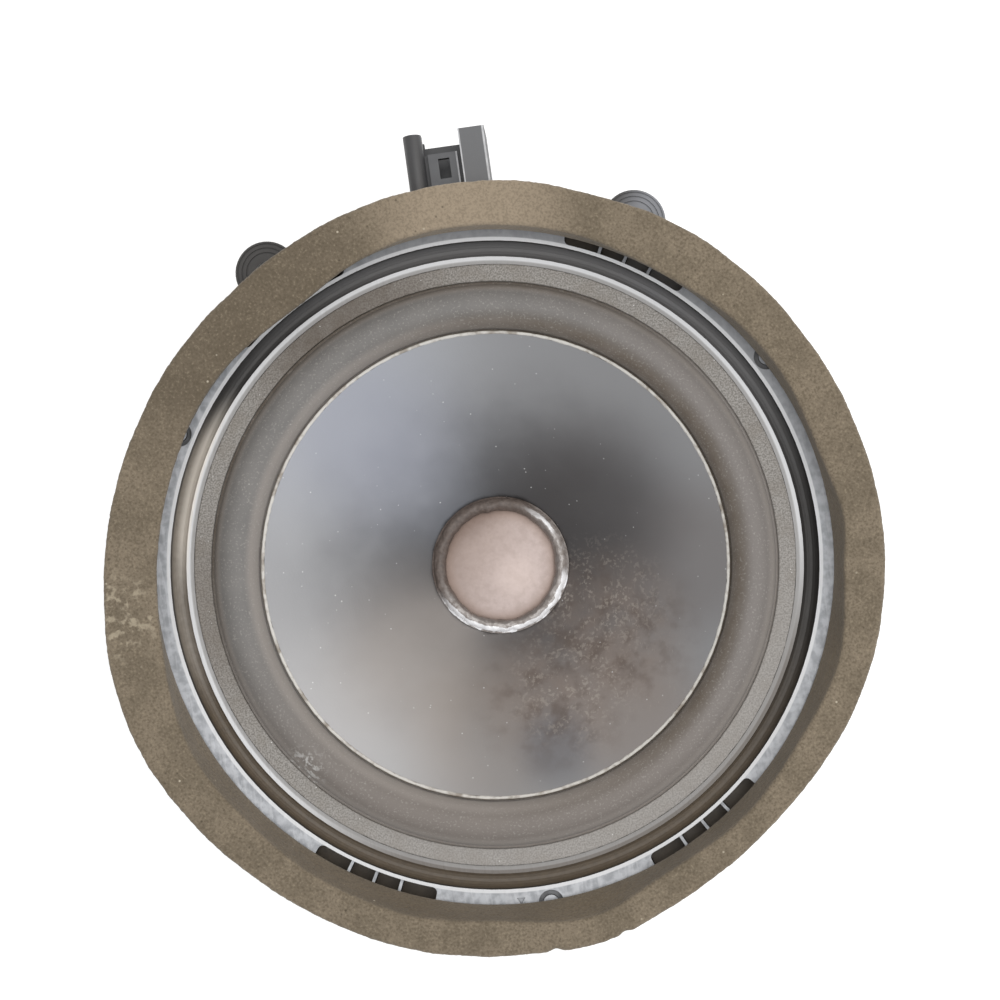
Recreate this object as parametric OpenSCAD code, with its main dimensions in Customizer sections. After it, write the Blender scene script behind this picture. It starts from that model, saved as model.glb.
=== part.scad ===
// Door mid-bass loudspeaker of the 165 mm class, with a moulded basket, a ferrite
// motor, an aluminium cone and a foam sealing ring on the front of its flange.
// Frame: the origin is on the cone's axis in the plane that seats on the door
// panel, +Z points forward out of the cone and +Y towards the connector.

/* [Basket] */
// Outer radius of the mounting flange
flange_r = 86; // [85.5:0.5:86.5]
// Height of the flange's front face above the mounting plane
flange_t = 7; // [6.8:0.1:7.4]
// Inner radius of the flange's thin front rim
rim_r = 76.9; // [76.7:0.1:77]
// Thickness of the rim wall between the channel and the pockets
rim_t = 0.8; // [0.6:0.1:1]
// Inner radius of the channel behind the rim
channel_r = 73.3; // [73.1:0.1:73.5]
// Radius of the barrel that enters the panel's cut-out
barrel_r = 71; // [70.8:0.1:71.2]
// Length of the barrel behind the mounting plane
barrel_h = 6; // [5.5:0.5:6.5]
// Height of the seat that holds the surround
seat_z = 4.4; // [4.3:0.1:4.5]
// Number of legs between the barrel and the motor seat
leg_count = 6; // [6]
// Angle that each window between two legs takes up
window_angle = 42; // [36:1:44]

/* [Ears] */
// Half the distance between the two screw ears
ear_x = 44; // [43:0.5:45]
// Distance of the ears from the cone's axis along +Y
ear_y = 76.2; // [75.5:0.1:76.5]
// Outer radius of an ear
ear_r = 7.5; // [7:0.1:8]
// Radius of the screw hole in an ear
ear_hole_r = 2.75; // [2.5:0.05:3]

/* [Cone and suspension] */
// Radius of the cone's outer edge
cone_r = 55.2; // [55:0.1:55.4]
// Height of the cone's outer edge
cone_edge_z = 4.2; // [4:0.1:4.4]
// Height of the cone where it meets its neck
cone_neck_z = -18.5; // [-19:0.1:-18]
// Thickness of the aluminium cone
cone_t = 0.5; // [0.4:0.05:0.6]
// Inner radius of the voice coil's former
former_r = 15; // [15]
// Height of the dust cap's dome
cap_h = 3.5; // [2.5:0.1:4]
// Outer radius of the spider's corrugated part
spider_r = 38; // [37.5:0.5:38.5]
// Half height of the spider's corrugations
spider_wave = 1.1; // [0.8:0.1:1.3]

/* [Motor] */
// Radius of the ferrite magnet
magnet_r = 42; // [40:0.5:45]
// Thickness of the ferrite magnet
magnet_t = 14; // [13:0.5:16]
// Radius of the steel plates on both sides of the magnet
plate_r = 38.5; // [38:0.5:39]
// Thickness of the top plate
plate_t = 6; // [5:0.5:7]
// Radius of the pole inside the voice coil
pole_r = 14.65; // [14.6:0.05:14.7]

/* [Foam ring] */
// Outer radius of the foam ring
foam_r = 91; // [90:0.5:92]
// Inner radius of the foam ring
foam_in_r = 79.7; // [79.5:0.1:80]
// Thickness of the foam ring
foam_t = 10.75; // [9:0.25:12]

/* [Connector] */
// Sideways place of the connector's centre line
plug_x = 2; // [1.5:0.5:2.5]
// Width of the connector housing
plug_w = 19.6; // [19:0.2:20]
// Distance of the housing's open end from the cone's axis
plug_tip_y = 103.8; // [103:0.2:105]

/* [Hidden] */
$fn = 96;

// A little more than a cut needs, so that it runs past the face it opens
eps = 0.1;

// Basket heights and radii behind the flange
shoulder_r = 71.5;
shoulder_z = 6;
barrel_in_r = 66.6;
shell_w = 4.24;
ledge_z = -28.6;
ledge_r = 37.5;
seat_top_z = -34;
motor_z = -37;
motor_seat_r = 44;
motor_bore_r = 25;
window_top_z = -9;
window_low_z = -27;
rib_t = 3;
rib_step = 0.6;

// Front channel, which passes over the connector's tongue
channel_floor_z = 2.8;

// Ribbed pockets beside the rim
pocket_angles = [59, 120, 241, 301];
pocket_span = 22;
pocket_in_r = rim_r + rim_t;
pocket_out_r = 83.3;
pocket_floor_z = 1.2;
pocket_corner_r = 1.3;
pocket_rib_t = 0.7;
pocket_rib_step = 4.6;
pocket_rib_drop = 0.3;

// Round moulding marks and the small arrow mark on the flange
mark_angles = [29.5, 149.5, 271.5];
mark_radius = 81;
mark_r = 3;
mark_boss_r = 1.8;
mark_depth = 1.2;
arrow_angle = 266.5;
arrow_radius = 79.6;
arrow_r = 1.1;
arrow_depth = 0.6;

// Ears, and the two tabs that tuck under the panel's clips at the lower edge
ear_t = 6;
ear_web_w = 13.6;
ear_groove_r = [4.6, 5.7, 6.7];
ear_groove_w = 0.35;
ear_groove_depth = 0.3;
tab_angles = [241, 299];
tab_w = 16;
tab_t = 2.5;
tab_reach = 89.5;

// Rivets that hold the top plate to the motor seat
rivet_count = 4;
rivet_circle_r = 31;
rivet_r = 2;
rivet_head_r = 3.2;
rivet_head_t = 1.2;

// Suspension landings and the roll of the surround
landing_t = 0.8;
joint_gap = 0.05;
roll_in_r = 56.4;
roll_out_r = 66.9;
roll_r = (roll_out_r - roll_in_r) / 2;
roll_mid = [(roll_out_r + roll_in_r) / 2, seat_z];
roll_t = 0.7;
trim_in_r = 67.4;
trim_out_r = 71.3;
trim_t = 1.2;

// Cone slope, neck and voice coil
neck_r = former_r + 0.5;
cone_foot_r = neck_r + 0.6;
cone_rise = (cone_edge_z - cone_neck_z) / (cone_r - cone_foot_r);
neck_h = 3.5;
former_t = 0.3;
former_top_z = -19;
former_low_z = -47;
collar_t = neck_r - former_r - former_t;
collar_low_z = -33.5;
winding_t = 0.6;
winding_top_z = -34;
winding_low_z = -46;
cap_rim_z = former_top_z - 0.2;
cap_t = 0.5;
cap_ball_r = (former_r * former_r + cap_h * cap_h) / (2 * cap_h);
glue_r = 1.55;
bead_r = 0.65;
bead_lap = 0.2;

// Spider corrugations
spider_t = 0.5;
spider_land_w = 4.5;
spider_turns = 5;
spider_steps = 8;
spider_z = ledge_z + spider_t;

// Motor
plate_gap_r = 16.3;
magnet_in_r = 21;
back_t = 5.5;
magnet_top_z = motor_z - plate_t;
magnet_low_z = magnet_top_z - magnet_t;
back_z = magnet_low_z - back_t;
edge_cut = 1;

// Connector housing, its tongue under the flange and the two terminals
plug_foot_y = 86.3;
plug_low_z = -5;
plug_rail_z = 6.5;
plug_panel_z = 4.2;
panel_notch = 4.7;
floor_notch = 1.3;
groove_w = 0.9;
groove_deep = 1.2;
rail_left_w = 4.4;
rail_right_w = 6.3;
rail_round_r = 2.2;
cavity_back_y = 90;
cavity_low_z = -3.4;
cavity_top_z = 2.7;
cavity_half_w = 6;
latch_w = 2.7;
latch_h = 4.8;
latch_x = plug_x - 0.8;
latch_y = 95.4;
tongue_w = 14;
tongue_low_z = 0.2;
tongue_end_y = 64;
recess_w = 16;
recess_top_z = 1.6;
blade_mid_x = plug_x - 0.5;
blade_gap = 7;
blade_w = 2.8;
blade_t = 0.8;
blade_z = 0.5;
blade_tip_y = 98.5;
blade_end_y = 59.6;

// Tinsel leads: route from the terminal down under the cone to the former,
// for the lead on the +X side of the connector's centre line
lead_r = 0.6;
lead_sides = 8;
lead_ring_step = 4;
lead_route = [[5, 61.2, -0.85], [5, 61.2, -3], [5.3, 59.5, -8], [6.2, 54, -13.5], [7.2, 46, -18],
              [7.5, 37.5, -21.5], [6.5, 29, -23.6], [4.8, 23, -24], [4, 20.4, -24], [4, 17.45, -24]];
anchor_z = -24;
anchor_x = 4;
anchor_r = 1.5;
anchor_end_y = 17.4;
solder_r = 1.3;
solder_y = 61.2;

module ring(out_r, in_r, low_z, high_z) {
    translate([0, 0, low_z])
        difference() {
            cylinder(r = out_r, h = high_z - low_z);
            translate([0, 0, -eps])
                cylinder(r = in_r, h = high_z - low_z + 2 * eps);
        }
}

// A block from low to high corner
module block(low, high) {
    translate(low)
        cube(high - low);
}

// Part of a ring between two angles
module sector(out_r, in_r, low_z, high_z, centre, span) {
    rotate([0, 0, centre - span / 2])
        rotate_extrude(angle = span)
            translate([in_r, low_z])
                square([out_r - in_r, high_z - low_z]);
}

module mirrored_x() {
    children();
    mirror([1, 0, 0])
        children();
}

function on_circle(radius, angle) = [radius * cos(angle), radius * sin(angle)];

// Flange with its front channel, barrel, sloping wall, spider ledge and motor seat
module basket_body() {
    floor_r = (rim_r - channel_r) / 2;
    floor_mid = [channel_r + floor_r, channel_floor_z + floor_r];
    rotate_extrude()
        polygon(concat(
            [[flange_r, 0], [flange_r, flange_t], [rim_r, flange_t]],
            [for (turn = [360 : -22.5 : 180]) floor_mid + on_circle(floor_r, turn)],
            [[channel_r, shoulder_z], [shoulder_r, shoulder_z], [shoulder_r, seat_z],
             [barrel_in_r, seat_z], [barrel_in_r, -barrel_h],
             [barrel_in_r + ledge_z + barrel_h, ledge_z], [ledge_r, ledge_z],
             [ledge_r, seat_top_z], [motor_bore_r, seat_top_z], [motor_bore_r, motor_z],
             [motor_seat_r, motor_z], [motor_seat_r, motor_seat_r - barrel_r - barrel_h],
             [barrel_r, -barrel_h], [barrel_r, 0]]
        ));
}

// Stiffening rib on the outside of a leg, standing no further out than the barrel
module leg_rib() {
    translate([0, rib_t / 2, 0])
        rotate([90, 0, 0])
            linear_extrude(height = rib_t)
                polygon([
                    [barrel_r - shell_w, 1 - barrel_h], [barrel_r - rib_step, 1 - barrel_h],
                    [barrel_r - rib_step, -barrel_h - shell_w],
                    [motor_seat_r + shell_w, motor_z + 1.5], [motor_seat_r - shell_w, motor_z + 1.5]
                ]);
}

module ear() {
    ear_angle = atan2(ear_y, ear_x);
    translate([ear_x, ear_y, 0])
        cylinder(r = ear_r, h = ear_t);
    rotate([0, 0, ear_angle])
        block([flange_r - ear_r, -ear_web_w / 2, 0],
              [norm([ear_x, ear_y]), ear_web_w / 2, ear_t]);
}

module ear_cuts() {
    translate([ear_x, ear_y, -eps])
        cylinder(r = ear_hole_r, h = flange_t + 2 * eps);
    for (groove_r = ear_groove_r)
        translate([ear_x, ear_y, 0])
            ring(groove_r + ear_groove_w, groove_r, ear_t - ear_groove_depth, flange_t + eps);
}

// Quarter of a rounded corner, from start to start + 90 degrees
function corner(centre_r, centre_angle, start) = [
    for (turn = [0 : 22.5 : 90])
        on_circle(centre_r, centre_angle) + on_circle(pocket_corner_r, centre_angle + start + turn)
];

// Outline of a curved pocket with rounded corners, centred on the X axis
function pocket_outline() =
    let(half = pocket_span / 2 - pocket_corner_r / pocket_in_r * 180 / PI,
        outer_mid_r = pocket_out_r - pocket_corner_r,
        inner_mid_r = pocket_in_r + pocket_corner_r)
    concat(
        [for (k = [-8 : 8]) on_circle(pocket_out_r, half * k / 9)],
        corner(outer_mid_r, half, 0),
        corner(inner_mid_r, half, 90),
        [for (k = [8 : -1 : -8]) on_circle(pocket_in_r, half * k / 9)],
        corner(inner_mid_r, -half, 180),
        corner(outer_mid_r, -half, 270)
    );

module pocket(angle) {
    rotate([0, 0, angle])
        difference() {
            translate([0, 0, pocket_floor_z])
                linear_extrude(height = flange_t - pocket_floor_z + eps)
                    polygon(pocket_outline());
            for (step = [-1, 0, 1])
                rotate([0, 0, step * pocket_rib_step])
                    block([pocket_in_r - 1, -pocket_rib_t / 2, pocket_floor_z - 1],
                          [pocket_out_r + 1, pocket_rib_t / 2, flange_t - pocket_rib_drop]);
        }
}

module basket() {
    color("dimgray")
        difference() {
            union() {
                basket_body();
                for (leg = [0 : leg_count - 1])
                    rotate([0, 0, 90 + leg * 360 / leg_count])
                        leg_rib();
                mirrored_x()
                    ear();
                for (angle = tab_angles)
                    rotate([0, 0, angle])
                        block([flange_r - 2, -tab_w / 2, 0], [tab_reach, tab_w / 2, tab_t]);
            }
            mirrored_x()
                ear_cuts();
            for (angle = pocket_angles)
                pocket(angle);
            for (angle = mark_angles)
                rotate([0, 0, angle])
                    translate([mark_radius, 0, 0])
                        ring(mark_r, mark_boss_r, flange_t - mark_depth, flange_t + eps);
            rotate([0, 0, arrow_angle])
                translate([arrow_radius, 0, flange_t - arrow_depth])
                    cylinder(r = arrow_r, h = arrow_depth + eps, $fn = 3);
            for (leg = [0 : leg_count - 1])
                sector(barrel_r + 5, ledge_r, window_low_z, window_top_z,
                       leg * 360 / leg_count, window_angle);
            for (i = [0 : rivet_count - 1])
                rotate([0, 0, 45 + i * 360 / rivet_count])
                    translate([rivet_circle_r, 0, motor_z - eps])
                        cylinder(r = rivet_r, h = seat_top_z - motor_z + 2 * eps);
            block([plug_x - recess_w / 2, barrel_in_r - 5, -eps],
                  [plug_x + recess_w / 2, flange_r + 1, recess_top_z]);
        }
}

module foam_gasket() {
    color("#857860")
        ring(foam_r, foam_in_r, flange_t + 0.25, flange_t + 0.25 + foam_t);
}

module foam_tape() {
    color("gainsboro")
        ring(flange_r, foam_in_r + 1, flange_t, flange_t + 0.25);
}

module surround_ring() {
    color("#969290")
        ring(trim_out_r, trim_in_r, seat_z + landing_t, seat_z + landing_t + trim_t);
}

module surround() {
    inner_z = cone_edge_z - cone_t - landing_t - joint_gap;
    color("#808080")
        rotate_extrude()
            polygon(concat(
                [[cone_r - 3, inner_z - 3 * cone_rise], [roll_in_r + roll_t, inner_z]],
                [for (turn = [180 : -15 : 0]) roll_mid + on_circle(roll_r - roll_t, turn)],
                [[trim_out_r, seat_z], [trim_out_r, seat_z + landing_t],
                 [roll_out_r + 0.2, seat_z + landing_t]],
                [for (turn = [15 : 15 : 180]) roll_mid + on_circle(roll_r, turn)],
                [[roll_in_r, inner_z + landing_t],
                 [cone_r - 3, inner_z - 3 * cone_rise + landing_t]]
            ));
}

module cone_profile() {
    polygon([
        [neck_r, cone_neck_z - neck_h], [cone_foot_r, cone_neck_z - neck_h],
        [cone_foot_r, cone_neck_z - cone_t], [cone_r, cone_edge_z - cone_t],
        [cone_r, cone_edge_z], [cone_foot_r, cone_neck_z], [neck_r, cone_neck_z]
    ]);
}

module cone() {
    color("#9a9a98")
        rotate_extrude()
            cone_profile();
}

module cone_edge_bead() {
    bead_mid = [cone_r + bead_r - bead_lap, cone_edge_z + 0.1];
    color("#d9d0bd")
        rotate_extrude()
            polygon(concat(
                [for (turn = [-90 : 22.5 : 180]) bead_mid + on_circle(bead_r, turn)],
                [[cone_r - bead_lap, cone_edge_z - bead_lap * cone_rise],
                 [cone_r, cone_edge_z], [cone_r, cone_edge_z - cone_t]]
            ));
}

module dust_cap_dome() {
    intersection() {
        translate([0, 0, cap_rim_z + cap_h - cap_ball_r])
            difference() {
                sphere(r = cap_ball_r);
                sphere(r = cap_ball_r - cap_t);
            }
        translate([0, 0, cap_rim_z])
            cylinder(r = former_r, h = cap_h + 1);
    }
}

module dust_cap() {
    color("#c3ac9c") {
        dust_cap_dome();
        ring(former_r, former_r - cap_t, cap_rim_z - 3, cap_rim_z + eps);
    }
}

// Height of the dust cap's outer face at a radius
function dome_z(radius) =
    cap_rim_z + cap_h - cap_ball_r + sqrt(cap_ball_r * cap_ball_r - radius * radius);

module cap_glue() {
    glue_mid = [former_r + 0.3, former_top_z + 0.9];
    foot_r = former_r + 1.75;
    color("#d8d2c8")
        rotate_extrude()
            polygon(concat(
                [for (turn = [5 : 15 : 200]) glue_mid + on_circle(glue_r, turn)],
                [[former_r - 0.6, dome_z(former_r - 0.6) + joint_gap],
                 [former_r, former_top_z], [neck_r, former_top_z], [neck_r, cone_neck_z],
                 [cone_foot_r, cone_neck_z],
                 [foot_r, cone_neck_z + (foot_r - cone_foot_r) * cone_rise]]
            ));
}

module coil_former() {
    color("#b58b4c")
        ring(former_r + former_t, former_r, former_low_z, former_top_z);
}

module former_collar() {
    color("#8a6d45")
        ring(neck_r, former_r + former_t, collar_low_z, former_top_z);
}

module coil_winding() {
    color("#b0652f")
        ring(former_r + former_t + winding_t, former_r + former_t, winding_low_z, winding_top_z);
}

module lead_anchors() {
    color("#3a3a3a")
        for (side = [-1, 1])
            difference() {
                translate([side * anchor_x, anchor_end_y, anchor_z])
                    rotate([90, 0, 0])
                        cylinder(r = anchor_r, h = anchor_end_y - 10);
                translate([0, 0, anchor_z - 5])
                    cylinder(r = neck_r, h = 10);
            }
}

// Profile of the spider as a band that follows a sine
spider_points = [for (i = [0 : spider_turns * spider_steps])
    let(part = i / (spider_turns * spider_steps),
        r = neck_r + 1.5 + part * (spider_r - neck_r - 1.5))
    [r, spider_z - spider_wave * sin(360 * spider_turns * part)]];

module spider() {
    last = len(spider_points) - 1;
    color("#c9a45a")
        rotate_extrude()
            polygon(concat(
                [[neck_r + joint_gap, spider_z]],
                spider_points,
                [[spider_r + spider_land_w, spider_z], [spider_r + spider_land_w, ledge_z]],
                [for (i = [last : -1 : 0]) spider_points[i] - [0, spider_t]],
                [[neck_r + joint_gap, spider_z - spider_t]]
            ));
}

module rivet_places() {
    for (i = [0 : rivet_count - 1])
        rotate([0, 0, 45 + i * 360 / rivet_count])
            translate([rivet_circle_r, 0, 0])
                children();
}

module top_plate() {
    color("#7d8084")
        difference() {
            ring(plate_r, plate_gap_r, magnet_top_z, motor_z);
            rivet_places()
                translate([0, 0, magnet_top_z - eps])
                    cylinder(r = rivet_r, h = plate_t + 2 * eps);
        }
}

module magnet() {
    color("#3b3b3d")
        rotate_extrude()
            polygon([
                [magnet_in_r, magnet_low_z], [magnet_r - edge_cut, magnet_low_z],
                [magnet_r, magnet_low_z + edge_cut], [magnet_r, magnet_top_z - edge_cut],
                [magnet_r - edge_cut, magnet_top_z], [magnet_in_r, magnet_top_z]
            ]);
}

module yoke() {
    dish_r = 7;
    dish_depth = 0.8;
    color("#7d8084")
        rotate_extrude()
            polygon([
                [0, back_z + dish_depth], [dish_r - dish_depth, back_z + dish_depth],
                [dish_r, back_z], [plate_r - edge_cut, back_z], [plate_r, back_z + edge_cut],
                [plate_r, magnet_low_z], [pole_r, magnet_low_z], [pole_r, motor_z - edge_cut],
                [pole_r - edge_cut, motor_z], [0, motor_z]
            ]);
}

module plate_rivets() {
    color("#8d8f92")
        rivet_places() {
            translate([0, 0, magnet_top_z])
                cylinder(r = rivet_r, h = seat_top_z - magnet_top_z);
            translate([0, 0, seat_top_z])
                cylinder(r = rivet_head_r, h = rivet_head_t);
        }
}

module blade_box(side, low_y, high_y, grow) {
    centre_x = blade_mid_x + side * blade_gap / 2;
    block([centre_x - blade_w / 2 - grow, low_y, blade_z - grow],
          [centre_x + blade_w / 2 + grow, high_y, blade_z + blade_t + grow]);
}

module connector_housing() {
    left_x = plug_x - plug_w / 2;
    right_x = plug_x + plug_w / 2;
    panel_y = plug_tip_y - panel_notch;
    color("#55565a")
        difference() {
            union() {
                block([left_x, plug_foot_y, plug_low_z], [right_x, panel_y, plug_panel_z]);
                block([left_x, plug_foot_y, plug_low_z],
                      [left_x + rail_left_w, plug_tip_y, plug_rail_z - rail_round_r]);
                translate([left_x + rail_round_r, plug_tip_y, plug_rail_z - rail_round_r])
                    rotate([90, 0, 0])
                        cylinder(r = rail_round_r, h = plug_tip_y - plug_foot_y);
                block([right_x - rail_right_w, plug_foot_y, plug_low_z],
                      [right_x, plug_tip_y, plug_rail_z]);
                block([left_x, plug_foot_y, plug_low_z],
                      [right_x, plug_tip_y - floor_notch, cavity_low_z]);
                block([plug_x - tongue_w / 2, tongue_end_y, tongue_low_z],
                      [plug_x + tongue_w / 2, plug_foot_y + 1, recess_top_z]);
            }
            block([plug_x - cavity_half_w, cavity_back_y, cavity_low_z],
                  [plug_x + cavity_half_w - 1, plug_tip_y + 1, cavity_top_z]);
            block([left_x + rail_left_w, panel_y, cavity_low_z],
                  [right_x - rail_right_w, plug_tip_y + 1, plug_rail_z + 1]);
            for (groove_x = [left_x + rail_left_w, right_x - rail_right_w - groove_w])
                block([groove_x, cavity_back_y - 2, plug_panel_z - groove_deep],
                      [groove_x + groove_w, panel_y + 1, plug_rail_z]);
            translate([latch_x, latch_y, 0])
                block([-latch_w / 2, -latch_h / 2, 0], [latch_w / 2, latch_h / 2, plug_rail_z]);
            for (side = [-1, 1])
                blade_box(side, blade_end_y, blade_tip_y, 0);
        }
}

module terminal(side) {
    color("#b9b4a2")
        blade_box(side, blade_end_y, blade_tip_y, 0);
}

module terminal_left() {
    terminal(-1);
}

module terminal_right() {
    terminal(1);
}

module solder_joints() {
    color("silver")
        for (side = [-1, 1])
            difference() {
                translate([blade_mid_x + side * blade_gap / 2, solder_y, blade_z])
                    sphere(r = solder_r);
                block([-20, solder_y - 5, blade_z], [20, solder_y + 5, blade_z + 5]);
            }
}

function unit(v) = v / norm(v);
function catmull(p0, p1, p2, p3, t) =
    0.5 * ((2 * p1) + (p2 - p0) * t + (2 * p0 - 5 * p1 + 4 * p2 - p3) * t * t
           + (3 * p1 - p0 - 3 * p2 + p3) * t * t * t);
function smooth(route, steps) = [
    for (i = [0 : len(route) - 2])
        for (k = [0 : steps - 1])
            catmull(route[max(i - 1, 0)], route[i], route[i + 1],
                    route[min(i + 2, len(route) - 1)], k / steps),
    route[len(route) - 1]
];
function along(path, i) =
    unit(path[min(i + 1, len(path) - 1)] - path[max(i - 1, 0)]);

// A tube of round section swept along a route in a plane near YZ
module tube(route, radius, sides, steps) {
    path = smooth(route, steps);
    count = len(path);
    points = [
        for (i = [0 : count - 1])
            let(forward = along(path, i),
                across = unit(cross(forward, [1, 0, 0])),
                other = cross(forward, across))
            for (k = [0 : sides - 1])
                path[i] + radius * (cos(360 * k / sides) * across + sin(360 * k / sides) * other)
    ];
    walls = [
        for (i = [0 : count - 2])
            for (k = [0 : sides - 1])
                [i * sides + k, i * sides + (k + 1) % sides,
                 (i + 1) * sides + (k + 1) % sides, (i + 1) * sides + k]
    ];
    first_end = [for (k = [sides - 1 : -1 : 0]) k];
    last_end = [for (k = [0 : sides - 1]) (count - 1) * sides + k];
    polyhedron(points = points, faces = concat([first_end, last_end], walls));
}

module tinsel_lead_right() {
    color("#a98c5e")
        tube(lead_route, lead_r, lead_sides, lead_ring_step);
}

module tinsel_lead_left() {
    left_route = [for (p = lead_route) [p[1] > 58 ? 2 * blade_mid_x - p[0] : -p[0], p[1], p[2]]];
    color("#a98c5e")
        tube(left_route, lead_r, lead_sides, lead_ring_step);
}

basket();
foam_gasket();
foam_tape();
surround_ring();
surround();
cone();
cone_edge_bead();
dust_cap();
cap_glue();
coil_former();
former_collar();
coil_winding();
lead_anchors();
spider();
top_plate();
magnet();
yoke();
plate_rivets();
connector_housing();
terminal_left();
terminal_right();
solder_joints();
tinsel_lead_left();
tinsel_lead_right();
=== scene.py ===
"""Looks of a car door loudspeaker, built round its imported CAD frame.

Lengths are metres in the row frame: the cone's axis is Z, +Z points forward and +Y to the connector.
Profiles are lists of (radius, height) in millimetres, carried round the axis.
"""
import math

import bmesh
import bpy
import numpy as np
from mathutils import Matrix, Vector, noise


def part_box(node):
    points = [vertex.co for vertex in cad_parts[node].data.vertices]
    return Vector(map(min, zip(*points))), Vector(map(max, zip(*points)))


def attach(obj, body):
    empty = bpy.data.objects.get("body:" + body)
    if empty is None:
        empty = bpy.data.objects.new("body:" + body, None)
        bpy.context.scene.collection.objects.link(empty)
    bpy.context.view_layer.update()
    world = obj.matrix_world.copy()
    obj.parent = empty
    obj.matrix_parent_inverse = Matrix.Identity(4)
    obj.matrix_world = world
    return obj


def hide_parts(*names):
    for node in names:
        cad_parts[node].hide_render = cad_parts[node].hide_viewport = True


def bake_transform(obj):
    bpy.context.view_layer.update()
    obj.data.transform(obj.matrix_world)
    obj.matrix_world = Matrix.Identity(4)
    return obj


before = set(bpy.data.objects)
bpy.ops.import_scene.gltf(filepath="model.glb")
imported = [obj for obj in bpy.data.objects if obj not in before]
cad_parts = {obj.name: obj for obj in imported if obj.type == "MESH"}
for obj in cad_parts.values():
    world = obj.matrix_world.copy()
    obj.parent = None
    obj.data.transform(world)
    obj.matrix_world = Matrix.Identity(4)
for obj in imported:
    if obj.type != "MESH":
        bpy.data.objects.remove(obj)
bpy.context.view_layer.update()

MM = 0.001
FRAME_BODY = "frame"
CONE_BODY = "cone_assembly"

# The object lies turned by this much, anticlockwise as the camera sees it
LEAN = math.radians(8)

# Heights and radii taken from the frame, in millimetres
FLANGE_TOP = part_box("foam_tape")[0].z / MM
FOAM_LOW, FOAM_TOP = (corner.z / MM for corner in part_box("foam_gasket"))
CONE_EDGE_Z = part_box("cone")[1].z / MM
BACK_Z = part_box("yoke")[0].z / MM
FORMER_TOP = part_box("coil_former")[1].z / MM
CAP_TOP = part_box("dust_cap")[1].z / MM
SPIDER_LOW, SPIDER_HIGH = (corner.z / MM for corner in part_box("spider"))

# Radii of the moving parts and their seats, in millimetres
CONE_R = 55.2
CONE_T = 0.5
CONE_FOOT_R = 16.1
CONE_NECK_Z = -18.5
NECK_R = 15.5
NECK_LOW = -22.0
FORMER_R = 15.0
CONE_RISE = (CONE_EDGE_Z - CONE_NECK_Z) / (CONE_R - CONE_FOOT_R)
SEAT_Z = 4.4
ROLL_MID_R = 61.65
ROLL_R = 5.25
ROLL_T = 0.7
LANDING_T = 0.8
TRIM_IN_R = 67.4
TRIM_OUT_R = 71.3
TRIM_TOP = 6.4
SPIDER_R = 38.0
SPIDER_LAND_R = 42.5
SPIDER_T = 0.5
SPIDER_TURNS = 5


# ---------------------------------------------------------------- mesh tools

def direction(image_angle):
    """Unit vector in the XY plane of an angle counted from the camera's right-hand side."""
    turn = image_angle - LEAN
    return Vector((math.cos(turn), math.sin(turn), 0))


def waves(points, size, seed=0, octaves=3):
    """Smooth random values, about -1 to 1, at an (n, 3) array of points, with features of that size."""
    shift = Vector((seed * 7.3, seed * 3.1, seed * 5.7))
    flat = np.asarray(points, float).reshape(-1, 3) / size
    values = [noise.fractal(Vector(p) + shift, 1.0, 2.0, octaves) for p in flat]
    return np.array(values).reshape(np.shape(points)[:-1])


def bump_at(angle, centre, width):
    """A smooth hump of height 1 round an angle in degrees; the angles are arrays in degrees."""
    away = (angle - centre + 180) % 360 - 180
    return np.exp(-(away / width) ** 2)


def arc(middle, radius, first, last, count):
    """Points on an arc of a profile, between two angles in degrees."""
    turns = np.radians(np.linspace(first, last, count))
    return [(middle[0] + radius * math.cos(t), middle[1] + radius * math.sin(t)) for t in turns]


def line(start, end, count):
    """Points between two profile points, without the last."""
    return [tuple(p) for p in np.linspace(start, end, count, endpoint=False)]


def grid_faces(rows, columns, wrap_columns):
    """Quads of a grid whose rows close on themselves."""
    faces = []
    spans = columns if wrap_columns else columns - 1
    for i in range(rows):
        after = (i + 1) % rows
        for k in range(spans):
            side = (k + 1) % columns
            here, there = i * columns, after * columns
            faces.append((here + k, there + k, there + side, here + side))
    return faces


def make_piece(name, points, faces, crease=40):
    """A smooth-shaded mesh object from points in metres, closed, with its normals outwards."""
    mesh = bpy.data.meshes.new(name)
    mesh.from_pydata([tuple(p) for p in points], [], faces)
    shell = bmesh.new()
    shell.from_mesh(mesh)
    bmesh.ops.remove_doubles(shell, verts=shell.verts, dist=1e-7)
    bmesh.ops.recalc_face_normals(shell, faces=shell.faces)
    shell.to_mesh(mesh)
    shell.free()
    mesh.shade_smooth()
    mesh.set_sharp_from_angle(angle=math.radians(crease))
    piece = bpy.data.objects.new(name, mesh)
    bpy.context.scene.collection.objects.link(piece)
    return piece


def revolve(name, profile, turns, change=None, closed=True, crease=40):
    """Carries a profile in millimetres round the axis; change may move the (turns, n, 3) points."""
    angles = np.linspace(0, 2 * math.pi, turns, endpoint=False)
    radius, height = np.array(profile, float).T
    points = np.stack([
        np.outer(np.cos(angles), radius),
        np.outer(np.sin(angles), radius),
        np.outer(np.ones(turns), height),
    ], axis=-1)
    if change:
        points = change(points)
    faces = grid_faces(turns, len(profile), closed)
    return make_piece(name, (points * MM).reshape(-1, 3), faces, crease)


def push(points, amount):
    """Moves points away from the axis by amounts in millimetres."""
    radius = np.linalg.norm(points[..., :2], axis=-1)
    points[..., :2] *= (1 + amount / np.maximum(radius, 1e-6))[..., None]
    return points


def grow(points, amount):
    """Moves the points of a revolved section out from that section's own middle, in millimetres."""
    middle = points.mean(axis=1, keepdims=True)
    away = points - middle
    away /= np.maximum(np.linalg.norm(away, axis=-1, keepdims=True), 1e-6)
    return points + away * amount[..., None]


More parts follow.
